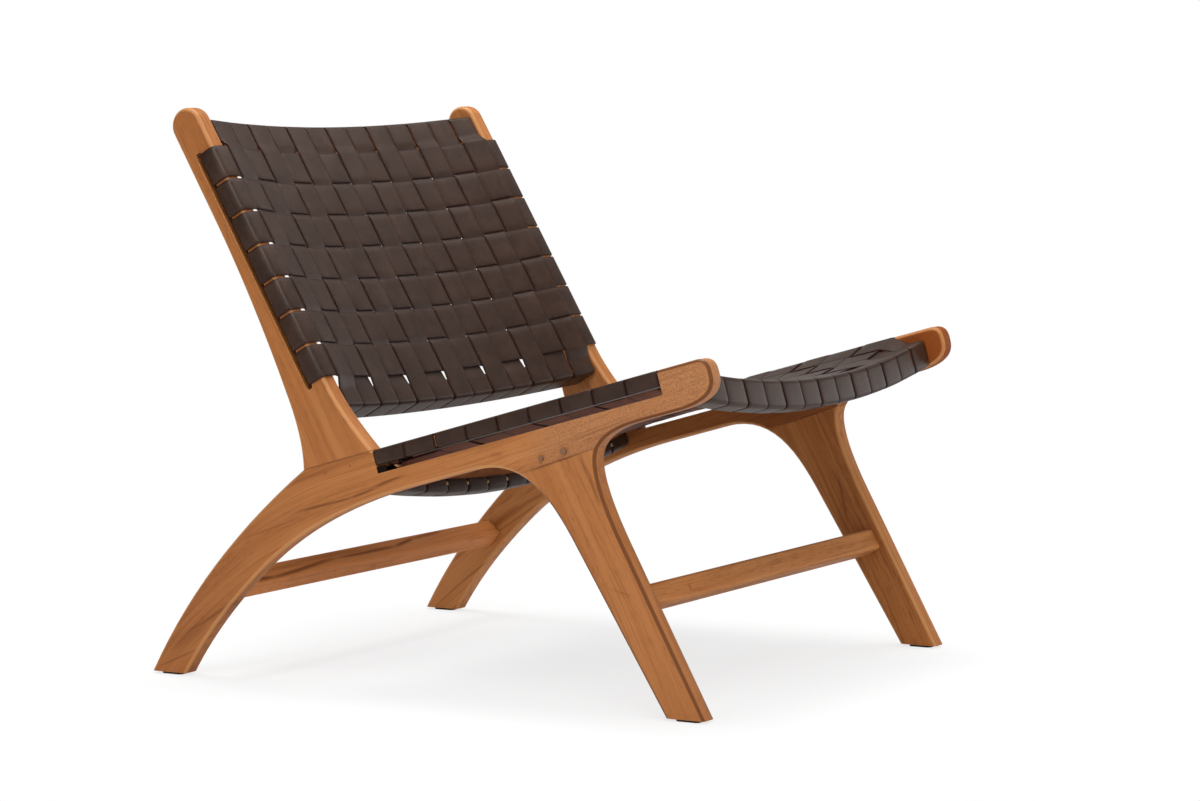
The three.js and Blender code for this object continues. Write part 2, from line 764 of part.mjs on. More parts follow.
function addPart(name, geometry, material) {
  const mesh = new Mesh(geometry, material);
  mesh.name = name;
  chair.add(mesh);
}

function addPair(name, geometry, material) {
  addPart(`right_${name}`, geometry, material);
  addPart(`left_${name}`, mirrored(geometry), material);
}

const side = rightSide(Object.values(bars).map(socket));
for (const [name, geometry] of Object.entries(side)) addPair(name, geometry, teak);
for (const [name, bar] of Object.entries(bars)) addPart(name, barGeometry(bar), teak);
addPair('front_glide', glideGeometry(frontFootWidth / 2 - frontFootReach), nylon);
addPair('rear_glide', glideGeometry(rearFootReach - rearFootWidth / 2), nylon);
for (let row = 1; row <= backCrossCount; row += 1) {
  addPart(`back_cross_strap_${row}`, backCrossStrap(row), hide);
}
for (let column = 1; column <= longCount; column += 1) {
  addPart(`back_upright_strap_${column}`, backUprightStrap(column), hide);
}
for (let row = 1; row <= seatCrossCount; row += 1) {
  addPart(`seat_cross_strap_${row}`, seatCrossStrap(row), hide);
}
for (let column = 1; column <= longCount; column += 1) {
  addPart(`seat_long_strap_${column}`, seatLongStrap(column), hide);
}

// The origin is on the floor, under the middle of the chair's box.
const box = new Box3().setFromObject(chair);
chair.position.y = -(box.min.y + box.max.y) / 2;
chair.updateMatrixWorld(true);

export default chair;
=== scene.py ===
"""A lounge chair with a solid teak frame, and a seat and back woven from leather straps."""

import math
import random

import bmesh
import bpy
from mathutils import Matrix, Vector


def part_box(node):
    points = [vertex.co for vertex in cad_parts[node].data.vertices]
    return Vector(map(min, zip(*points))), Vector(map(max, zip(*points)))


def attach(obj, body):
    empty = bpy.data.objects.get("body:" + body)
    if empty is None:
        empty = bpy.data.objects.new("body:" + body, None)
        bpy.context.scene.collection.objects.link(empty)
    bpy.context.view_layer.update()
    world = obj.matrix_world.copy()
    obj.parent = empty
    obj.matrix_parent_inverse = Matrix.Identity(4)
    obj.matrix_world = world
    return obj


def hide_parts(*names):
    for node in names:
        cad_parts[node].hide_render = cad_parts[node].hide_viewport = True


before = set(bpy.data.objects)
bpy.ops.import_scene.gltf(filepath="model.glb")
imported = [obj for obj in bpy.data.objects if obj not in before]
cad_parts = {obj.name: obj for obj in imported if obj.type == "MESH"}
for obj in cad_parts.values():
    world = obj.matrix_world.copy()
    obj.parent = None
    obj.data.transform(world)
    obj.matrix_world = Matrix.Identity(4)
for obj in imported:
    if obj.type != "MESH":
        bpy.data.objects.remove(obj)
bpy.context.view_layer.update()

# The chair's own lines, in metres and radians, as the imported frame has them.
SEAT_SLOPE = math.radians(15.4)
BACK_LEAN = math.radians(29.8)
CORNER_HEIGHT = 0.2904
REAR_FOOT_REACH = 0.3327
CORNER = Vector((0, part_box("right_seat_rail")[1].y - REAR_FOOT_REACH, CORNER_HEIGHT))
HALF_FRAME = -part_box("right_seat_rail")[0].x
TIMBER = 0.025
INNER_HALF = HALF_FRAME - TIMBER

# Leather straps and the way they lie.
THICK = 0.0022
LIFT = 0.00125
EDGE_LIFT = 0.24
LONG_GAP = 0.0018
BACK_ROW_GAP = 0.0034
SEAT_ROW_GAP = 0.0010
WIDER_GAP_ROW = 2
WIDER_GAP = 0.0012
EDGE_ROUND = 0.0008
LONG_COUNT = 13
WEAVE_MARGIN = 0.0025
LONG_PITCH = (INNER_HALF - WEAVE_MARGIN) * 2 / LONG_COUNT
PAIR_SHIFT = 0.0007
SEAT_ROWS = 9
SEAT_START = 0.002
SEAT_END = 0.4016
SEAT_PITCH = (SEAT_END - SEAT_START) / SEAT_ROWS
BACK_ROWS = 7
BACK_START = 0.106
BACK_END = 0.4248
BACK_PITCH = (BACK_END - BACK_START) / BACK_ROWS

SEAT_SAG = 0.040
SEAT_SAG_MIDDLE = 0.033
SEAT_SAG_POWER = 2.5
BACK_SAG = 0.0295
BACK_SAG_POWER = 2.4
POST_FACE = 0.0156
RAIL_FACE = 0.0011
POST_SLOT = 0.0373
RAIL_SLOT = 0.0174
SLOT_INSET = 0.002
OUTER_FACE = HALF_FRAME + 0.0014
RAIL_OUTER_FACE = HALF_FRAME - 0.0011

# How a cross strap bends round the outside of its side frame.
POST_SLOT_ROUND = 0.0024
POST_OUTER_ROUND = 0.0078
POST_INNER_ROUND = 0.0085
POST_INNER_WAY = 0.003
RAIL_SLOT_ROUND = 0.0022
RAIL_OUTER_ROUND = 0.0026
RAIL_INNER_ROUND = 0.002
RAIL_INNER_WAY = 0.0005

# Bars of the seat, in its own measure, and of the back, in its own.
SEAT_BAR_HEIGHT = 0.030
REAR_BAR_FRONT = -0.0165
REAR_BAR_DEPTH = 0.025
REAR_BAR_TOP = 0.012
FRONT_BAR_FRONT = 0.441
FRONT_BAR_DEPTH = 0.024
FRONT_BAR_TOP = 0.0145
SEAT_BOW = 0.0275
BACK_BAR_SETBACK = 0.0225
TOP_BAR_LOW = 0.429
TOP_BAR_HEIGHT = 0.0335
TOP_BAR_DEPTH = 0.024
LOW_BAR_LOW = 0.0705
LOW_BAR_HEIGHT = 0.027
LOW_BAR_DEPTH = 0.035
BACK_BOW = 0.024
LOW_BAR_REAR_BOW = 0.019

# How a long strap goes round a bar.
WRAP = 0.0014
WRAP_ROUND = 0.0052
LEAVE_ROUND = 0.004
FLAP = 0.016


def seat_point(x, along, down):
    """A point in the seat: along the rail from its rear corner, and down from its top."""
    c, s = math.cos(SEAT_SLOPE), math.sin(SEAT_SLOPE)
    return CORNER + Vector((x, -along * c - down * s, along * s - down * c))


def back_point(x, up, rear):
    """A point in the back: up the post from its lower corner, and to the rear of its front edge."""
    c, s = math.cos(BACK_LEAN), math.sin(BACK_LEAN)
    return CORNER + Vector((x, up * s + rear * c, up * c - rear * s))


def sag(x, power=2.0):
    """How far something bowed stands off its ends at x, from 0 at the sides to 1 in the middle."""
    return 1 - min(1.0, abs(x) / INNER_HALF) ** power


def seat_level(x, along):
    """How far the middle of the seat's weave lies below the top of its rails."""
    share = min(1.0, max(0.0, (along - SEAT_START) / (SEAT_END - SEAT_START)))
    depth = SEAT_SAG + (SEAT_SAG_MIDDLE - SEAT_SAG) * math.sin(math.pi * share)
    return THICK / 2 + depth * sag(x, SEAT_SAG_POWER)


def back_level(x):
    """How far the middle of the back's weave lies behind the front edge of its posts."""
    return POST_FACE + BACK_SAG * sag(x, BACK_SAG_POWER)


# Shader expressions


class Value:
    """A socket that can be used in a Python expression."""

    def __init__(self, maker, socket):
        self.maker = maker
        self.socket = socket

    def _math(self, operation, *others):
        return self.maker.math(operation, self, *others)

    def __add__(self, other):
        return self._math("ADD", other)

    __radd__ = __add__

    def __sub__(self, other):
        return self._math("SUBTRACT", other)

    def __rsub__(self, other):
        return self.maker.math("SUBTRACT", other, self)

    def __mul__(self, other):
        return self._math("MULTIPLY", other)

    __rmul__ = __mul__

    def __truediv__(self, other):
        return self._math("DIVIDE", other)

    def __pow__(self, other):
        """An even power, so that it holds on both sides of zero."""
        return self.maker.math("POWER", self._math("ABSOLUTE"), other)


class Finish:
    """A material whose nodes are added one by one."""

    def __init__(self, name, owner=None):
        self.material = owner or bpy.data.materials.new(name)
        self.material.use_nodes = True
        self.tree = self.material.node_tree
        self.tree.nodes.clear()

    def node(self, kind, settings=None, outputs=0, **inputs):
        """Adds a node, sets its settings, then its sockets, and returns the outputs asked for."""
        made = self.tree.nodes.new(kind)
        for key, value in (settings or {}).items():
            setattr(made, key, value)
        for key, value in inputs.items():
            socket = self.find(made, key)
            if isinstance(value, Value):
                self.tree.links.new(value.socket, socket)
            else:
                socket.default_value = value
        if isinstance(outputs, tuple):
            return [Value(self, made.outputs[key]) for key in outputs]
        return Value(self, made.outputs[outputs]) if len(made.outputs) else made

    @staticmethod
    def find(made, key):
        """Finds an input by its place, as in_0, or by its name in lower case."""
        if key.startswith("in_"):
            return made.inputs[int(key[3:])]
        for socket in made.inputs:
            if socket.enabled and socket.name.lower().replace(" ", "_") == key:
                return socket
        raise KeyError(key)

    def math(self, operation, *values):
        places = {f"in_{index}": value for index, value in enumerate(values)}
        return self.node("ShaderNodeMath", {"operation": operation}, **places)

    def clamp(self, value):
        return self.node("ShaderNodeClamp", value=value)

    def fade(self, value, low, high):
        """0 below low, 1 above high, and smooth between them."""
        settings = {"interpolation_type": "SMOOTHSTEP"}
        return self.node("ShaderNodeMapRange", settings, value=value, from_min=low, from_max=high)

    def mix(self, factor, first, second):
        settings = {"data_type": "RGBA"}
        return self.node("ShaderNodeMix", settings, 2, in_0=factor, in_6=first, in_7=second)

    def noise(self, vector, scale=1.0, detail=2.0, roughness=0.5):
        facts = {"scale": scale, "detail": detail, "roughness": roughness}
        return self.node("ShaderNodeTexNoise", vector=vector, **facts)

    def grain(self, axes, scales, detail=1.0, roughness=0.5):
        """Noise in the grain's own axes, each stretched by a scale of its own."""
        stretched = [axis * scale for axis, scale in zip(axes, scales)]
        return self.noise(self.combine(*stretched), detail=detail, roughness=roughness)

    def parts(self, vector):
        return self.node("ShaderNodeSeparateXYZ", outputs=("X", "Y", "Z"), vector=vector)

    def combine(self, x, y, z):
        return self.node("ShaderNodeCombineXYZ", x=x, y=y, z=z)

    def rays(self):
        """1 or 0 for a ray of the camera, one that was mirrored, and one that came through glass."""
        names = ("Is Camera Ray", "Is Glossy Ray", "Is Transmission Ray")
        return self.node("ShaderNodeLightPath", outputs=names)

    def seen(self):
        """1 for each of those rays, and 0 for the others, which carry light from one thing to another."""
        camera, mirrored, clear = self.rays()
        return self.math("MAXIMUM", camera, self.math("MAXIMUM", mirrored, clear))

    def finish(self, bump=None, bump_depth=0.0, **inputs):
        if bump is not None:
            inputs["normal"] = self.node("ShaderNodeBump", strength=1.0, distance=bump_depth, height=bump)
        shader = self.node("ShaderNodeBsdfPrincipled", **inputs)
        self.node("ShaderNodeOutputMaterial", surface=shader)
        return self.material


def rgb(red, green, blue):
    return (red, green, blue, 1.0)


# Teak

TEAK_LIGHT = rgb(0.490, 0.200, 0.064)
TEAK_MIDDLE = rgb(0.365, 0.130, 0.036)
TEAK_DARK = rgb(0.195, 0.054, 0.013)
TEAK_STREAK = rgb(0.118, 0.029, 0.008)
# TEAK_PAINTED_SHADE is painted shade, laid on the roundings at the front and on the faces that look up.
TEAK_PAINTED_SHADE = rgb(0.130, 0.034, 0.006)
# TEAK_RIM_HIGHLIGHT is a painted highlight, laid on every rounding.
TEAK_RIM_HIGHLIGHT = rgb(0.600, 0.290, 0.110)
TEAK_PORE = rgb(0.190, 0.084, 0.040)
TEAK_MATT = rgb(0.440, 0.210, 0.104)
TEAK_WARM = rgb(0.270, 0.058, 0.008)
TEAK_BRIGHT = rgb(0.720, 0.250, 0.080)
TEAK_BLOTCH = rgb(0.440, 0.150, 0.034)

# Scales of the grain's features along, across and through the grain, each per metre.
WANDER_SCALES = (2.4, 7.0, 6.0)
RIPPLE_SCALES = (13.0, 24.0, 18.0)
BAND_SCALES = (1.0, 34.0, 28.0)
FINE_SCALES = (7.0, 380.0, 260.0)
RING_SCALES = (1.3, 105.0, 70.0)
DASH_SCALES = (60.0, 800.0, 700.0)
VEIN_SCALES = (1.9, 90.0, 60.0)
BLOTCH_SCALES = (8.0, 15.0, 16.0)
PORE_SCALES = (330.0, 760.0, 760.0)
WANDER_WIDTH = 0.026
RIPPLE_WIDTH = 0.003
SEED_STEP = 1.7
TEAK_DEPTH = 0.00025

# Where the front of a side frame begins and is fully reached, and where its nose does, as -Y.
FRONT_FROM, FRONT_FULL = 0.14, 0.20
NOSE_FROM, NOSE_FULL = 0.32, 0.345


def mark_line(wood, face, ripple, start, end, width, strength, wandering):
    """A dark line on a face from start to end, with its half width and how much it wanders."""
    reach = math.dist(start, end) / 2
    way = ((end[0] - start[0]) / reach / 2, (end[1] - start[1]) / reach / 2)
    out = (face[0] - (start[0] + end[0]) / 2, face[1] - (start[1] + end[1]) / 2)
    length = out[0] * way[0] + out[1] * way[1]
    offset = out[1] * way[0] - out[0] * way[1] + (ripple - 0.5) * wandering
    far = (length / reach) ** 4.0 + (offset / width) ** 2.0
    return wood.math("EXPONENT", far * -1.0) * strength


def teak(
    name, turn, seed, tone=0.0, slide=0.0, streaks=0.5, bend=0.0, lines=1.0, gloss=0.2, marks=(), bar=False,
    front_edge=0.0, upper=0.0, pores=0.0, warm_nose=0.0, bright=0.0,
):
    """Oiled teak. turn brings the grain's own direction to X, and bend curves it towards one end.
    seed picks its figure, tone darkens it, and streaks and lines are the strength of its veins.
    slide changes the tone from front to rear. front_edge paints shade onto the roundings at the front,
    and upper paints shade onto the faces that look up. pores speckles the timber at the front,
    warm_nose reddens a nose, and bright makes a member of paler timber redder and lighter.
    Every rounding also gets a painted highlight.
    marks are dark lines. Their places are in the seat's own (along, down), or in (X, Z) on a bar."""
    wood = Finish(name)
    coordinates = wood.node("ShaderNodeTexCoord", outputs=3)
    turned = wood.node("ShaderNodeMapping", {"vector_type": "TEXTURE"}, vector=coordinates, rotation=turn)
    along, through, across = wood.parts(turned)
    if bend:
        across = across + wood.math("POWER", wood.math("MAXIMUM", along, 0.0), 2.0) * bend
    x, y, z = wood.parts(coordinates)
    tone = y * slide + tone
    front = wood.fade(y * -1.0, FRONT_FROM, FRONT_FULL)
    nose = wood.fade(y * -1.0, NOSE_FROM, NOSE_FULL)
    face = (x, z)
    if not bar:
        y, z = y - CORNER.y, z - CORNER.z
        c, s = math.cos(SEAT_SLOPE), math.sin(SEAT_SLOPE)
        face = (y * -c + z * s, y * -s - z * c)
    along = along + seed * SEED_STEP
    axes = (along, across, through)
    wander = wood.grain(axes, WANDER_SCALES)
    ripple = wood.grain(axes, RIPPLE_SCALES)
    across = across + (wander - 0.5) * WANDER_WIDTH + (ripple - 0.5) * RIPPLE_WIDTH
    axes = (along, across, through)
    bands = wood.grain(axes, BAND_SCALES, detail=2.0)
    fine = wood.grain(axes, FINE_SCALES, detail=2.0, roughness=0.6)
    depth = wood.clamp(bands * 1.1 + (fine - 0.5) * 0.3 - 0.16 + tone)
    colour = wood.mix(wood.fade(depth, 0.05, 0.65), TEAK_LIGHT, TEAK_MIDDLE)
    colour = wood.mix(wood.fade(depth, 0.55, 1.0) * 0.5, colour, TEAK_DARK)
    if bright:
        colour = wood.mix(bright, colour, TEAK_BRIGHT)
    ring = wood.grain(axes, RING_SCALES)
    ring = 1 - wood.fade(wood.math("ABSOLUTE", ring - 0.5), 0.008, 0.05)
    ring = ring * wood.fade(ripple, 0.35, 0.6) * 0.5 * lines
    hair = wood.fade(fine, 0.55, 0.68) * 0.48 * lines
    dash = wood.grain(axes, DASH_SCALES)
    dash = wood.fade(dash, 0.58, 0.70) * wood.fade(bands, 0.36, 0.6) * 0.4
    colour = wood.mix(wood.math("MAXIMUM", ring, hair), colour, TEAK_DARK)
    vein = wood.grain(axes, VEIN_SCALES, detail=2.0)
    vein = wood.fade(vein, 0.66, 0.73) * streaks * 0.8
    for mark in marks:
        vein = wood.math("MAXIMUM", vein, mark_line(wood, face, ripple, *mark) * wood.fade(fine, 0.15, 0.45))
    colour = wood.mix(wood.math("MAXIMUM", vein, dash), colour, TEAK_STREAK)
    blotch = wood.grain(axes, BLOTCH_SCALES)
    colour = wood.mix(wood.fade(blotch, 0.3, 0.75) * 0.25, colour, TEAK_BLOTCH)
    if warm_nose:
        colour = wood.mix(nose * warm_nose, colour, TEAK_WARM)
    if pores:
        speck = wood.grain(axes, PORE_SCALES, detail=2.0)
        colour = wood.mix(front * pores * 0.6, colour, TEAK_MATT)
        colour = wood.mix(wood.fade(speck, 0.45, 0.62) * front * pores, colour, TEAK_PORE)
    facing = wood.node("ShaderNodeTexCoord", outputs=1)
    sideways, _, upwards = wood.parts(facing)
    sideways = wood.math("ABSOLUTE", sideways)
    # A painted highlight on every rounding of the timber.
    rounding = wood.fade(sideways, 0.15, 0.35) * (1 - wood.fade(sideways, 0.88, 0.985))
    colour = wood.mix(rounding * 0.55, colour, TEAK_RIM_HIGHLIGHT)
    # Painted shade on the roundings at the front, and on the faces that look up.
    if front_edge:
        colour = wood.mix(rounding * front * front_edge, colour, TEAK_PAINTED_SHADE)
    if upper:
        colour = wood.mix(wood.fade(upwards, 0.3, 0.7) * upper, colour, TEAK_PAINTED_SHADE)
    roughness = 0.40 + depth * 0.12 + dash * 0.12
    height = fine * 0.5 - dash * 0.9 - depth * 0.3
    return wood.finish(
        bump=height, bump_depth=TEAK_DEPTH, base_color=colour, roughness=roughness, specular_ior_level=gloss
    )


# Leather

HIDE = rgb(0.058, 0.030, 0.0190)
HIDE_PALE = rgb(0.080, 0.044, 0.029)
HIDE_DEEP = rgb(0.033, 0.016, 0.010)
# HIDE_EDGE_AND_GAP_SHADE is the darker, redder cut edge, and also painted shade in the gaps between straps.
HIDE_EDGE_AND_GAP_SHADE = rgb(0.027, 0.007, 0.003)
FLESH = rgb(0.190, 0.064, 0.036)
FLESH_PALE = rgb(0.260, 0.104, 0.060)
FLESH_DEEP = rgb(0.095, 0.031, 0.017)
GRAIN_DEPTH = 0.0001
CROWN = 0.0007
HALF_STRAP = 0.021
CLOUD_SCALE = 24.0
PATCH_SCALE = 140.0
CREASE_SCALE = 900.0
WRINKLE_ALONG, WRINKLE_ACROSS = 420.0, 90.0
PLAIN_SCALE = 600.0


def leather(name, middle, pale, deep, roughness=0.25, gloss=0.35):
    """Saddle leather with a fine grain, each strap a little crowned across its width.
    The strap's own map runs along and across it in metres."""
    hide = Finish(name)
    mapped = hide.node("ShaderNodeUVMap", {"uv_map": "strap"})
    along, across, _ = hide.parts(mapped)
    flat = hide.combine(along, across, 0.0)
    cloud = hide.noise(flat, scale=CLOUD_SCALE, detail=3.0)
    patch = hide.noise(flat, scale=PATCH_SCALE, detail=4.0, roughness=0.6)
    settings = {"feature": "DISTANCE_TO_EDGE"}
    grain = hide.node("ShaderNodeTexVoronoi", settings, vector=flat, scale=CREASE_SCALE)
    creases = hide.fade(grain, 0.0, 0.22)
    stretched = hide.combine(along * WRINKLE_ALONG, across * WRINKLE_ACROSS, 0.0)
    wrinkle = hide.noise(stretched, detail=3.0)
    tone = hide.clamp(cloud * 0.9 + patch * 0.5 - 0.25)
    colour = hide.mix(hide.fade(tone, 0.18, 0.75), deep, middle)
    colour = hide.mix(hide.fade(tone, 0.5, 0.95) * 0.6, colour, pale)
    colour = hide.mix((1 - creases) * 0.35, colour, deep)
    wide = hide.math("ABSOLUTE", across) / HALF_STRAP
    # The cut edges darken, and the dark runs about 2 mm onto the face as painted shade in the gaps between
    # straps.
    side = hide.fade(wide, 0.90, 0.97)
    colour = hide.mix(side * 0.95, colour, HIDE_EDGE_AND_GAP_SHADE)
    rough = patch * 0.14 + (1 - creases) * 0.06 + roughness
    height = creases * 0.4 + wrinkle * 0.4 + patch * 0.5
    height = height - wide * wide * wide * CROWN / GRAIN_DEPTH
    return hide.finish(
        bump=height, bump_depth=GRAIN_DEPTH, base_color=colour, roughness=rough, specular_ior_level=gloss
    )


def plain(name, colour, roughness, metallic=0.0, gloss=0.5):
    """A finish of one colour, with a slight unevenness of its own."""
    made = Finish(name)
    coordinates = made.node("ShaderNodeTexCoord", outputs=3)
    cloud = made.noise(coordinates, scale=PLAIN_SCALE, detail=3.0)
    shade = made.mix(cloud * 0.4, colour, rgb(*(c * 0.6 for c in colour[:3])))
    return made.finish(
        bump=cloud, bump_depth=GRAIN_DEPTH, base_color=shade, roughness=cloud * 0.2 + roughness,
        metallic=metallic, specular_ior_level=gloss,
    )


# Making and keeping pieces

# The angles, in degrees, from which an edge stays sharp when a mesh is shaded smooth.
TIMBER_SHARP = 34
STRAP_SHARP = 60
TACK_SHARP = 60
SMALL_SHARP = 40

JOIN_DISTANCE = 1e-6
FLAT_ANGLE = math.radians(0.4)
ARRIS_WIDTH = 0.0006
ARRIS_ANGLE = math.radians(50)
EDGE_ANGLE = math.radians(60)
RIM_ANGLE = 1.0


def piece(name, mesh, material, node=None):
    """Puts a mesh in the scene as a piece of the chair."""
    made = bpy.data.objects.new(name, mesh)
    bpy.context.scene.collection.objects.link(made)
    made.data.materials.clear()
    made.data.materials.append(material)
    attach(made, "root")
    if node:
        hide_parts(node)
    return made


def smooth_mesh(mesh, angle):
    mesh.shade_smooth()
    mesh.set_sharp_from_angle(angle=math.radians(angle))


def timber(node, material):
    """A wooden member: the frame's own solid with its facets joined and its rounded edges smooth."""
    shape = bmesh.new()
    shape.from_mesh(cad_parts[node].data)
    bmesh.ops.remove_doubles(shape, verts=shape.verts, dist=JOIN_DISTANCE)
    bmesh.ops.dissolve_limit(shape, angle_limit=FLAT_ANGLE, verts=shape.verts, edges=shape.edges)
    mesh = bpy.data.meshes.new("teak_" + node)
    shape.to_mesh(mesh)
    shape.free()
    smooth_mesh(mesh, TIMBER_SHARP)
    made = piece("teak_" + node, mesh, material, node)
    arris = made.modifiers.new("arris", "BEVEL")
    arris.width = ARRIS_WIDTH
    arris.segments = 2
    arris.limit_method = "ANGLE"
    arris.angle_limit = ARRIS_ANGLE
    arris.harden_normals = False
    weighted = made.modifiers.new("even_shading", "WEIGHTED_NORMAL")
    weighted.keep_sharp = True
    weighted.weight = 80
    return made


TURN_STEPS = 6


def rounded(corners):
    """A line through corners, each (point, radius), with every corner turned smoothly."""
    line = [corners[0][0]]
    for (before, _), (point, radius), (after, _) in zip(corners, corners[1:], corners[2:]):
        if radius == 0:
            line.append(point)
            continue
        start = point + (before - point).normalized() * radius
        end = point + (after - point).normalized() * radius
        for step in range(TURN_STEPS + 1):
            t = step / TURN_STEPS
            line.append(start * (1 - t) ** 2 + point * 2 * t * (1 - t) + end * t * t)
    line.append(corners[-1][0])
    return line


# Places within one crossing, as shares of the pitch, closer where the strap bends.
CROSSING_SHARES = (
    -0.5, -0.48, -0.46, -0.43, -0.39, -0.34, -0.27, -0.18, 0.0, 0.18, 0.27, 0.34, 0.39, 0.43, 0.46, 0.48
)
RISE_SHARE = 0.2
CURL_SHARE = 0.09
LAST_SHARE = 0.49


def lift_share(share, side, outer=0):
    """How far a strap stands off the weave's middle: over a crossing it arches along its length,
    and its two edges curl away from the strap that it crosses. Between two crossings it is level.
    On the outer side of a first or last row it keeps its height up to the bar."""
    curl = EDGE_LIFT * abs(2 * side) ** 3
    if share * outer > 0:
        return 1 + curl
    arch = math.sin(min(1.0, (0.5 - abs(share)) / RISE_SHARE) * math.pi / 2)
    return arch + curl * min(1.0, (0.5 - abs(share)) / CURL_SHARE)


def over(row, column):
    """True where the cross strap lies over the long one."""
    return (row + column) % 2 == 1


ACROSS_STEPS = 8
PATTERN_LENGTH = 5
STRAP_SEED = 11
strap_random = random.Random(STRAP_SEED)


def ribbon(name, node, width, line_at, material):
    """A leather strap. line_at(side) gives its middle line there, from -0.5 to 0.5 across it."""
    lines = []
    for step in range(ACROSS_STEPS + 1):
        lines.append(line_at(step / ACROSS_STEPS - 0.5))
    count = len(lines[0]) - 1
    lengths = [0.0]
    middle = lines[ACROSS_STEPS // 2]
    for first, second in zip(middle, middle[1:]):
        lengths.append(lengths[-1] + (second - first).length)
    shape = bmesh.new()
    bmesh.ops.create_grid(shape, x_segments=count, y_segments=ACROSS_STEPS, size=0.5, calc_uvs=False)
    layer = shape.loops.layers.uv.new("strap")
    start = strap_random.uniform(0, PATTERN_LENGTH)
    for face in shape.faces:
        for loop in face.loops:
            along = round((loop.vert.co.x + 0.5) * count)
            loop[layer].uv = (lengths[along] + start, loop.vert.co.y * width)
    for vertex in shape.verts:
        along = round((vertex.co.x + 0.5) * count)
        step = round((vertex.co.y + 0.5) * ACROSS_STEPS)
        vertex.co = lines[step][along]
    mesh = bpy.data.meshes.new(name)
    shape.to_mesh(mesh)
    shape.free()
    smooth_mesh(mesh, STRAP_SHARP)
    made = piece(name, mesh, material, node)
    made.data.materials.append(flesh)
    body = made.modifiers.new("thickness", "SOLIDIFY")
    body.thickness = THICK
    body.offset = 0
    body.use_even_offset = False
    body.material_offset = 1
    edge = made.modifiers.new("edges", "BEVEL")
    edge.width = EDGE_ROUND
    edge.segments = 3
    edge.limit_method = "ANGLE"
    edge.angle_limit = EDGE_ANGLE
    return made


def column_at(column):
    """The X of the middle of a column of long straps."""
    return (column - (LONG_COUNT + 1) / 2) * LONG_PITCH


def pair_shift(column):
    """Two neighbours lie closer together, so every other gap between long straps is wider."""
    return PAIR_SHIFT if column % 2 else -PAIR_SHIFT


def cross_line(row, side, level, ends):
    """The line of a cross strap from side to side, as pairs of X and level."""
    left = [(Vector((-x, y)), radius) for x, y, radius in ends]
    right = [(Vector((x, y)), radius) for x, y, radius in reversed(ends)]
    weave = []
    for column in range(1, LONG_COUNT + 1):
        sign = -1 if over(row, column) else 1
        for share in CROSSING_SHARES:
            x = column_at(column) + share * LONG_PITCH
            weave.append((Vector((x, level(x) + sign * LIFT * lift_share(share, side))), 0))
    x = -weave[0][0].x
    weave.append((Vector((x, level(x))), 0))
    return rounded(left + weave + right)


def back_cross(row, material):
    """A strap of the back from post to post. The first row is the highest."""
    centre = BACK_END - (row - 0.5) * BACK_PITCH
    ends = [
        (INNER_HALF + SLOT_INSET, POST_SLOT, 0),
        (OUTER_FACE, POST_SLOT, POST_SLOT_ROUND),
        (OUTER_FACE, POST_FACE, POST_OUTER_ROUND),
        (INNER_HALF + POST_INNER_WAY, POST_FACE, POST_INNER_ROUND),
    ]
    width = BACK_PITCH - BACK_ROW_GAP

    def line_at(side):
        line = cross_line(row, side, back_level, ends)
        return [back_point(p.x, centre + side * width, p.y) for p in line]

    return ribbon(f"back_cross_leather_{row}", f"back_cross_strap_{row}", width, line_at, material)


def seat_cross(row, material):
    """A strap of the seat from rail to rail. The first row is the rear one."""
    centre = SEAT_START + (row - 0.5) * SEAT_PITCH - (WIDER_GAP if row <= WIDER_GAP_ROW else 0)
    ends = [
        (INNER_HALF + SLOT_INSET, RAIL_SLOT, 0),
        (RAIL_OUTER_FACE, RAIL_SLOT, RAIL_SLOT_ROUND),
        (RAIL_OUTER_FACE, RAIL_FACE, RAIL_OUTER_ROUND),
        (INNER_HALF - RAIL_INNER_WAY, RAIL_FACE, RAIL_INNER_ROUND),
    ]
    width = SEAT_PITCH - SEAT_ROW_GAP

    def line_at(side):
        along = centre - side * width
        line = cross_line(row, side, lambda x: seat_level(x, along), ends)
        return [seat_point(p.x, along, p.y) for p in line]

    return ribbon(f"seat_cross_leather_{row}", f"seat_cross_strap_{row}", width, line_at, material)


def woven(column, side, rows, row_at, pitch, level, direction):
    """The part of a long strap that passes the cross straps, for rows in the order given."""
    line = []
    for row in rows:
        sign = 1 if over(row, column) else -1
        outer = -1 if row == rows[0] else 1 if row == rows[-1] else 0
        for share in CROSSING_SHARES + ((LAST_SHARE,) if outer == 1 else ()):
            if share == CROSSING_SHARES[0] and outer == -1:
                continue
            place = row_at(row) + direction * share * pitch
            lift = sign * LIFT * lift_share(share, side, outer)
            line.append((Vector((place, level(place) + lift)), 0))
    return line


def loop_round(low, high, corner_order):
    """Corners of the way round a bar, each at the wrap's distance from the wood. Along and down in
    the seat, or up and to the rear in the back, a is low and low, b high and low, c high and high,
    and d low and high."""
    places = {
        "a": Vector((low.x - WRAP, low.y - WRAP)),
        "b": Vector((high.x + WRAP, low.y - WRAP)),
        "c": Vector((high.x + WRAP, high.y + WRAP)),
        "d": Vector((low.x - WRAP, high.y + WRAP)),
    }
    return [(places[key], WRAP_ROUND) for key in corner_order]


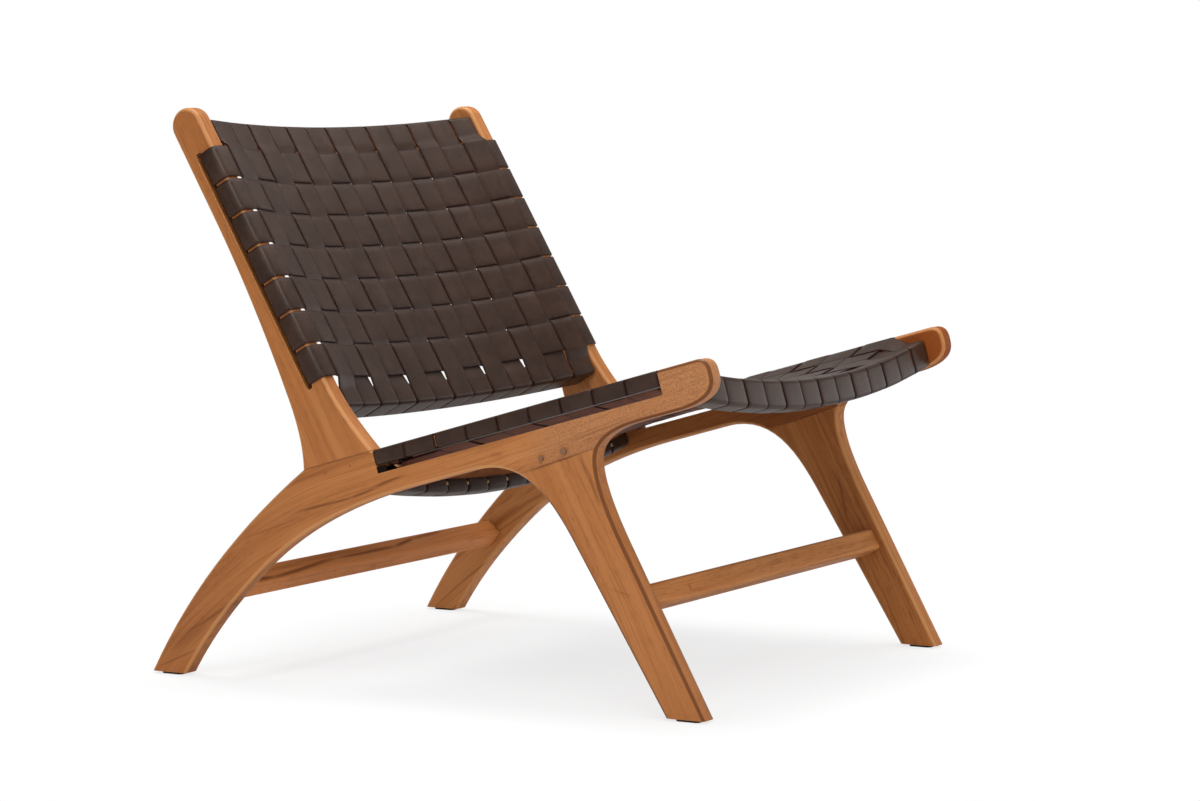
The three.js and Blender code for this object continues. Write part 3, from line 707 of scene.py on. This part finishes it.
def seat_long(column, material):
    """A strap of the seat round its rear and front bars."""

    def row_at(row):
        return SEAT_START + (row - 0.5) * SEAT_PITCH

    width = LONG_PITCH - LONG_GAP

    def line_at(side):
        x = column_at(column) + side * width
        bow = SEAT_BOW * sag(x)
        low = Vector((REAR_BAR_FRONT - REAR_BAR_DEPTH, REAR_BAR_TOP + bow))
        high = Vector((REAR_BAR_FRONT, REAR_BAR_TOP + SEAT_BAR_HEIGHT + bow))
        rear = loop_round(low, high, "cda")
        start = rear[0][0] + Vector((0, -FLAP))
        leave = Vector((REAR_BAR_FRONT - WRAP_ROUND, low.y - WRAP))
        low = Vector((FRONT_BAR_FRONT - FRONT_BAR_DEPTH, FRONT_BAR_TOP + bow))
        high = Vector((FRONT_BAR_FRONT, FRONT_BAR_TOP + SEAT_BAR_HEIGHT + bow))
        front = loop_round(low, high, "bcd")
        meet = Vector((low.x + WRAP_ROUND, low.y - WRAP))
        end = front[-1][0] + Vector((0, -FLAP))
        rows = range(1, SEAT_ROWS + 1)
        crossings = woven(column, side, rows, row_at, SEAT_PITCH, lambda along: seat_level(x, along), 1)
        line = rounded(
            [(start, 0)] + rear + [(leave, LEAVE_ROUND)]
            + crossings
            + [(meet, LEAVE_ROUND)] + front + [(end, 0)]
        )
        return [seat_point(x + pair_shift(column), p.x, p.y) for p in line]

    return ribbon(f"seat_long_leather_{column}", f"seat_long_strap_{column}", width, line_at, material)


def back_upright(column, material):
    """A strap of the back round its top and bottom bars."""

    def row_at(row):
        return BACK_END - (row - 0.5) * BACK_PITCH

    width = LONG_PITCH - LONG_GAP

    def line_at(side):
        x = column_at(column) + side * width
        bow = BACK_BOW * sag(x)
        low = Vector((TOP_BAR_LOW, BACK_BAR_SETBACK + bow))
        high = Vector((TOP_BAR_LOW + TOP_BAR_HEIGHT, BACK_BAR_SETBACK + TOP_BAR_DEPTH + bow))
        top = loop_round(low, high, "cb")
        start = top[0][0] + Vector((-FLAP, 0))
        leave = Vector((TOP_BAR_LOW + WRAP_ROUND, low.y - WRAP))
        rear_bow = LOW_BAR_REAR_BOW * sag(x)
        low = Vector((LOW_BAR_LOW, BACK_BAR_SETBACK + bow))
        high = Vector((LOW_BAR_LOW + LOW_BAR_HEIGHT, BACK_BAR_SETBACK + LOW_BAR_DEPTH + rear_bow))
        foot = loop_round(low, high, "ad")
        meet = Vector((high.x - WRAP_ROUND, low.y - WRAP))
        end = foot[-1][0] + Vector((FLAP, 0))
        rows = range(1, BACK_ROWS + 1)
        crossings = woven(column, side, rows, row_at, BACK_PITCH, lambda up: back_level(x), -1)
        line = rounded(
            [(start, 0)] + top + [(leave, LEAVE_ROUND)]
            + crossings
            + [(meet, LEAVE_ROUND)] + foot + [(end, 0)]
        )
        return [back_point(x + pair_shift(column), p.x, p.y) for p in line]

    return ribbon(f"back_upright_leather_{column}", f"back_upright_strap_{column}", width, line_at, material)


# Small fasteners

TACK_RADIUS = 0.0026
TACK_FLATNESS = 0.45
TACK_DROP = 0.033
PLUG_RADIUS = 0.0033
PLUG_LENGTH = 0.004
PLUG_SUNK = 0.0003
PLUG_ARRIS = 0.0001
GLUE_WIDTH = 0.0005
GLUE_SUNK = 0.00015


def tacks(name, places, material):
    """Domed tack heads. Each place is the middle of a head and the direction that it faces."""
    shape = bmesh.new()
    for place, facing in places:
        made = bmesh.ops.create_uvsphere(shape, u_segments=14, v_segments=8, radius=TACK_RADIUS)["verts"]
        bmesh.ops.scale(shape, vec=(1, 1, TACK_FLATNESS), verts=made)
        turn = facing.to_track_quat("Z", "Y").to_matrix()
        bmesh.ops.rotate(shape, cent=(0, 0, 0), matrix=turn, verts=made)
        bmesh.ops.translate(shape, vec=place, verts=made)
    mesh = bpy.data.meshes.new(name)
    shape.to_mesh(mesh)
    shape.free()
    smooth_mesh(mesh, TACK_SHARP)
    return piece(name, mesh, material)


def pegs(name, places, radius, sunk, material):
    """Round pegs that stand out of the timber's face by their length, less the part sunk in it.
    That is a fault: real plugs and their glue lines end at the face."""
    shape = bmesh.new()
    for place in places:
        made = bmesh.ops.create_cone(
            shape, cap_ends=True, segments=24, radius1=radius, radius2=radius, depth=PLUG_LENGTH
        )["verts"]
        edges = {
            edge for vertex in made for edge in vertex.link_edges if edge.calc_face_angle(0) > RIM_ANGLE
        }
        turn = Matrix.Rotation(math.pi / 2, 3, "Y")
        outwards = math.copysign(PLUG_LENGTH / 2 - sunk, place.x)
        bmesh.ops.rotate(shape, cent=(0, 0, 0), matrix=turn, verts=made)
        bmesh.ops.translate(shape, vec=place + Vector((outwards, 0, 0)), verts=made)
        bmesh.ops.bevel(
            shape, geom=list(edges), offset=PLUG_ARRIS, segments=2, profile=0.5, affect="EDGES", material=-1
        )
    mesh = bpy.data.meshes.new(name)
    shape.to_mesh(mesh)
    shape.free()
    smooth_mesh(mesh, SMALL_SHARP)
    return piece(name, mesh, material)


BLOCK_ROUND = 0.0006


def small_leather(name, place, size, turn, material):
    """A small block of leather in the slot of a rail, at a place in the seat's own measure."""
    shape = bmesh.new()
    made = bmesh.ops.create_cube(shape, size=1.0)["verts"]
    edges = {edge for vertex in made for edge in vertex.link_edges}
    bmesh.ops.scale(shape, vec=size, verts=made)
    bmesh.ops.rotate(shape, cent=(0, 0, 0), matrix=Matrix.Rotation(turn, 3, "X"), verts=made)
    bmesh.ops.translate(shape, vec=seat_point(*place), verts=made)
    bmesh.ops.bevel(
        shape, geom=list(edges), offset=BLOCK_ROUND, segments=2, profile=0.5, affect="EDGES"
    )
    mesh = bpy.data.meshes.new(name)
    shape.to_mesh(mesh)
    shape.free()
    smooth_mesh(mesh, SMALL_SHARP)
    return piece(name, mesh, material)


# The chair


def side_grain(angle):
    """Turns the grain into the side frame's own plane, at an angle above the way to the rear."""
    return (Matrix.Rotation(math.radians(angle), 3, "X") @ Matrix.Rotation(math.pi / 2, 3, "Z")).to_euler()


# Each mark has its start, its end, its half width, its strength and how much it wanders.
LEG_JOINT = ((0.206, 0.0722), (0.276, 0.0684), 0.0009, 0.75, 0.0)
POST_JOINT = ((-0.101, 0.0008), (-0.002, 0.0008), 0.0010, 0.75, 0.0)
RAIL_MARKS = (
    LEG_JOINT,
    POST_JOINT,
    ((0.040, 0.0370), (-0.010, 0.0430), 0.0022, 0.95, 0.003),
    ((-0.004, 0.0430), (-0.045, 0.0477), 0.0018, 0.9, 0.004),
    ((-0.040, 0.0475), (-0.120, 0.0469), 0.0014, 0.85, 0.006),
    ((-0.120, 0.0538), (-0.208, 0.0607), 0.0009, 0.45, 0.003),
    ((0.261, 0.0533), (0.368, 0.0420), 0.0009, 0.6, 0.002),
    ((-0.074, 0.0109), (-0.070, 0.0109), 0.0022, 0.7, 0.0),
    ((-0.037, 0.0104), (-0.033, 0.0104), 0.0018, 0.6, 0.0),
    ((-0.020, 0.0060), (-0.160, 0.0120), 0.0040, 0.35, 0.006),
    ((-0.337, 0.1564), (-0.243, 0.1323), 0.0026, 0.55, 0.006),
    ((-0.355, 0.1680), (-0.300, 0.1500), 0.0070, 0.35, 0.006),
    ((-0.382, 0.1857), (-0.322, 0.1774), 0.0010, 0.7, 0.0),
    ((0.160, 0.0430), (0.178, 0.0450), 0.0035, 0.3, 0.004),
)
LEG_MARKS = (
    LEG_JOINT,
    ((0.2776, 0.0689), (0.2828, 0.0964), 0.0015, 0.6, 0.003),
    ((0.2828, 0.0900), (0.2877, 0.1297), 0.0022, 0.5, 0.003),
    ((0.2754, 0.2252), (0.3002, 0.2385), 0.0009, 0.4, 0.002),
)
FAR_LEG_MARKS = (LEG_JOINT, ((0.2767, 0.1555), (0.2744, 0.2122), 0.0016, 0.6, 0.002))
NOSE_MARKS = (
    ((0.449, 0.0168), (0.467, 0.0448), 0.0060, 0.45, 0.004),
    ((0.200, 0.0600), (0.300, 0.0520), 0.0040, 0.40, 0.006),
)

# The members of the side frames. The grain of each runs at its own angle.
SIDE_FINISHES = {
    "right_seat_rail": dict(
        turn=side_grain(-19), tone=-0.02, slide=0.6, streaks=0.5, bend=0.65, lines=0.8, front_edge=0.9,
        pores=0.5, marks=RAIL_MARKS,
    ),
    "right_back_post": dict(turn=side_grain(61), tone=0.04, streaks=0.2, lines=0.6, marks=(POST_JOINT,)),
    "right_front_leg": dict(
        turn=side_grain(63), tone=-0.05, streaks=0.2, lines=0.6, front_edge=0.9, marks=LEG_MARKS
    ),
    "left_seat_rail": dict(
        turn=side_grain(-19), tone=0.12, slide=-1.8, gloss=0.12, streaks=0.5, bend=0.65, lines=0.8,
        warm_nose=0.7, marks=NOSE_MARKS,
    ),
    "left_back_post": dict(turn=side_grain(61), tone=0.0, streaks=0.2, lines=0.6),
    "left_front_leg": dict(turn=side_grain(63), tone=-0.02, gloss=0.12, streaks=0.35, marks=FAR_LEG_MARKS),
}
SIDE_SEED, SIDE_SEED_STEP = 1.0, 1.3
for number, (node, facts) in enumerate(SIDE_FINISHES.items()):
    timber(node, teak(f"teak_{node}", seed=SIDE_SEED + number * SIDE_SEED_STEP, **facts))

STRETCHER_MARKS = (
    ((-0.300, 0.1180), (-0.225, 0.1165), 0.0020, 0.85, 0.003),
    ((-0.235, 0.1160), (-0.080, 0.1225), 0.0020, 0.9, 0.003),
    ((-0.085, 0.1222), (0.052, 0.1225), 0.0018, 0.9, 0.002),
    ((0.048, 0.1220), (0.100, 0.1265), 0.0018, 0.85, 0.002),
    ((0.095, 0.1262), (0.170, 0.1285), 0.0018, 0.6, 0.002),
    ((-0.260, 0.1255), (0.020, 0.1275), 0.0042, 0.45, 0.003),
)
KNOT_MARKS = (((-0.2035, 0.1360), (-0.1985, 0.1360), 0.0026, 0.7, 0.0),)
BAR_FINISHES = {
    "back_top_bar": {},
    "back_bottom_bar": {},
    "seat_front_bar": {},
    "seat_rear_bar": {},
    "front_stretcher": dict(tone=-0.20, streaks=0.2, lines=0.7, gloss=0.10, marks=KNOT_MARKS, bar=True),
    "rear_stretcher": dict(
        tone=-0.50, streaks=0.2, lines=0.6, gloss=0.05, marks=STRETCHER_MARKS, bar=True, upper=0.15,
        bright=0.45,
    ),
}
BAR_SEED, BAR_SEED_STEP, BAR_TURN_STEP = 7.0, 1.9, 0.5
for number, (node, facts) in enumerate(BAR_FINISHES.items()):
    turn = (BAR_TURN_STEP * number, 0, 0)
    timber(node, teak(f"teak_{node}", turn, BAR_SEED + number * BAR_SEED_STEP, **facts))

hide = leather("dark_brown_leather", HIDE, HIDE_PALE, HIDE_DEEP)
flesh = leather("leather_flesh_side", FLESH, FLESH_PALE, FLESH_DEEP, roughness=0.62, gloss=0.2)
for row in range(1, BACK_ROWS + 1):
    back_cross(row, hide)
for row in range(1, SEAT_ROWS + 1):
    seat_cross(row, hide)
for column in range(1, LONG_COUNT + 1):
    seat_long(column, hide)
    back_upright(column, hide)

black = plain("black_nylon", rgb(0.012, 0.012, 0.013), 0.5)
for side in ("right", "left"):
    for end in ("front", "rear"):
        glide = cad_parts[f"{side}_{end}_glide"]
        glide.data.materials.clear()
        glide.data.materials.append(black)

brass = plain("aged_brass", rgb(0.62, 0.47, 0.24), 0.36, metallic=0.8)
forwards = seat_point(0, 1, 0) - seat_point(0, 0, 0)
rear_tacks = []
for edge in range(1, LONG_COUNT):
    x = (edge - LONG_COUNT / 2) * LONG_PITCH
    place = seat_point(x, REAR_BAR_FRONT + WRAP + THICK / 2, TACK_DROP + SEAT_BOW * sag(x))
    rear_tacks.append((place, forwards))
tacks("rear_bar_tacks", rear_tacks, brass)

# Each plug with its place along the seat and down from its top, and its radius.
PLUG_PLACES = (("front", 0.2592, 0.0603, PLUG_RADIUS), ("rear", 0.2278, 0.0616, PLUG_RADIUS * 0.75))
END_GRAIN_SEED = 3.3
end_grain = teak("teak_end_grain", (0, 0, 0), END_GRAIN_SEED, tone=-0.05, streaks=0.1)
glue = plain("glue_line", rgb(0.240, 0.110, 0.052), 0.6)
for name, along, down, radius in PLUG_PLACES:
    places = [seat_point(x, along, down) for x in (-HALF_FRAME, HALF_FRAME)]
    pegs(f"{name}_plug_glue_lines", places, radius + GLUE_WIDTH, GLUE_SUNK, glue)
    pegs(f"{name}_joint_plugs", places, radius, PLUG_SUNK, end_grain)

# What shows in the slot of the right rail behind the last cross strap: the cut end of a strap, and
# folds of the leather inside, whose near black is painted shade in the slot. Each has its place, its
# size and its turn about X.
cut_edge = plain("cut_leather_edge", rgb(0.50, 0.24, 0.10), 0.6)
# Nearly black: painted shade deep in the slot, on the leather folded there.
shaded_folds = plain("folded_leather", rgb(0.012, 0.007, 0.005), 0.7, gloss=0.05)
END_TURN = SEAT_SLOPE * 1.4
SLOT_LEATHER = (
    ("strap_end", (-0.3105, 0.0270, 0.0252), (0.011, 0.0060, 0.0018), END_TURN, cut_edge),
    ("rear_fold_outer", (-0.3178, 0.0075, 0.0250), (0.002, 0.014, 0.0085), -SEAT_SLOPE, shaded_folds),
    ("rear_fold_low", (-0.3060, 0.0080, 0.0262), (0.002, 0.040, 0.0085), -SEAT_SLOPE, shaded_folds),
    ("rear_fold_high", (-0.3060, 0.0355, 0.0190), (0.002, 0.020, 0.0036), -SEAT_SLOPE, shaded_folds),
)
for facts in SLOT_LEATHER:
    small_leather(*facts)

# Floor, light and camera

FLOOR_RADIUS = 2.4
FLOOR_GLOSS = 0.4
FLOOR_WHITE = rgb(0.93, 0.93, 0.93)
SHADOW_SHARE = 0.25
SHADOW_NEAR, SHADOW_END = 0.45, 1.0
AMBIENT = 0.40
STUDIO_GLOSS = 0.08
BACKDROP_WAY = (0.94, 0.341, 0.0)
BACKDROP_EDGE, BACKDROP_FULL = 0.3, 0.7
BACKDROP_FROM, BACKDROP_TOP = 0.06, 0.27
BACKDROP_FALL = 0.95


def lay_floor():
    """A plain pale floor. It takes a faint shadow near the chair and is pure white further out."""
    made = Finish("studio_floor")
    coordinates = made.node("ShaderNodeTexCoord", outputs=3)
    reach = made.node("ShaderNodeVectorMath", {"operation": "LENGTH"}, 1, vector=coordinates)
    far = made.fade(reach, SHADOW_NEAR, SHADOW_END)
    matt = made.node("ShaderNodeBsdfDiffuse", color=FLOOR_WHITE)
    _, mirrored, _ = made.rays()
    glow = made.node("ShaderNodeEmission", color=rgb(1, 1, 1), strength=1 - mirrored * (1 - FLOOR_GLOSS))
    factor = made.seen() * (far * SHADOW_SHARE + (1 - SHADOW_SHARE))
    blend = made.node("ShaderNodeMixShader", in_0=factor, in_1=matt, in_2=glow)
    made.node("ShaderNodeOutputMaterial", surface=blend)
    shape = bmesh.new()
    bmesh.ops.create_circle(shape, cap_ends=True, segments=96, radius=FLOOR_RADIUS)
    mesh = bpy.data.meshes.new("studio_floor")
    shape.to_mesh(mesh)
    shape.free()
    floor = bpy.data.objects.new("studio_floor", mesh)
    floor.data.materials.append(made.material)
    bpy.context.scene.collection.objects.link(floor)


def light_world():
    """A studio that is white to the camera, lights the chair dimly from all round, and is mirrored
    as a low white backdrop behind the chair with darkness elsewhere."""
    world = bpy.data.worlds.new("studio")
    bpy.context.scene.world = world
    made = Finish("studio", world)
    way = made.node("ShaderNodeTexCoord", outputs=0)
    toward = made.node("ShaderNodeVectorMath", {"operation": "DOT_PRODUCT"}, 1, in_0=way, in_1=BACKDROP_WAY)
    height = made.parts(way)[2]
    low = 1 - made.fade(height, BACKDROP_FROM, BACKDROP_TOP) * BACKDROP_FALL
    backdrop = made.fade(toward, BACKDROP_EDGE, BACKDROP_FULL) * low
    camera, mirrored, clear = made.rays()
    strength = AMBIENT + mirrored * (STUDIO_GLOSS - AMBIENT + backdrop * (1 - STUDIO_GLOSS))
    strength = made.math("MAXIMUM", strength, camera + clear)
    soft = made.node("ShaderNodeBackground", color=rgb(1, 1, 1), strength=strength)
    made.node("ShaderNodeOutputWorld", surface=soft)


lay_floor()
light_world()


def softbox(name, place, target, size, power):
    """A soft lamp at a place, turned to a target, with its size in metres and its power in watts."""
    data = bpy.data.lights.new(name, "AREA")
    data.shape = "RECTANGLE"
    data.size, data.size_y = size
    data.energy = power
    lamp = bpy.data.objects.new(name, data)
    lamp.location = place
    lamp.rotation_euler = (Vector(target) - Vector(place)).to_track_quat("-Z", "Y").to_euler()
    bpy.context.scene.collection.objects.link(lamp)


SOFTBOXES = (
    ("key", (-2.0, -0.9, 2.6), (0, 0, 0.35), (1.8, 1.4), 38),
    ("top", (0.3, 0.3, 2.8), (0, 0, 0.3), (1.5, 1.5), 60),
    ("top_right", (1.6, -0.3, 2.2), (0, 0.1, 0.4), (1.0, 1.0), 4.0),
    ("right", (2.6, 0.3, 1.3), (0, 0.1, 0.5), (0.9, 0.7), 0.5),
    ("low", (-3.0, 0.4, 1.0), (0, 0.1, 0.2), (1.2, 0.8), 5),
    ("front", (-0.6, -3.2, 1.5), (0, 0, 0.35), (1.6, 1.0), 20),
    ("front_card", (2.6, -1.6, 0.75), (0, -0.3, 0.3), (1.0, 0.7), 1.5),
)
for facts in SOFTBOXES:
    softbox(*facts)

# The camera, as the lines of the side frames and the repeat of the straps place it. The lens and
# the sensor are in millimetres.
AZIMUTH = math.radians(-59.521)
ELEVATION = math.radians(4.795)
ROLL = math.radians(-0.496)
DISTANCE = 4.2554
LENS = 102.807
SENSOR_WIDTH = 36.0
FARTHEST = 50
TARGET_WAY = -0.1258
TARGET_HEIGHT = 0.3296
TARGET = CORNER + Vector((0, TARGET_WAY, TARGET_HEIGHT - CORNER_HEIGHT))
level_reach = math.cos(ELEVATION)
back = Vector((math.sin(AZIMUTH) * level_reach, -math.cos(AZIMUTH) * level_reach, math.sin(ELEVATION)))
level_right = Vector((math.cos(AZIMUTH), math.sin(AZIMUTH), 0))
level_up = back.cross(level_right)
right = level_right * math.cos(ROLL) + level_up * math.sin(ROLL)
up = level_up * math.cos(ROLL) - level_right * math.sin(ROLL)
camera_data = bpy.data.cameras.new("photo_camera")
camera_data.lens = LENS
camera_data.sensor_width = SENSOR_WIDTH
camera_data.sensor_fit = "HORIZONTAL"
camera_data.clip_end = FARTHEST
camera = bpy.data.objects.new("photo_camera", camera_data)
turned = Matrix((right, up, back)).transposed().to_4x4()
camera.matrix_world = Matrix.Translation(TARGET + back * DISTANCE) @ turned
bpy.context.scene.collection.objects.link(camera)
bpy.context.scene.camera = camera
bpy.context.scene.view_settings.view_transform = "Standard"
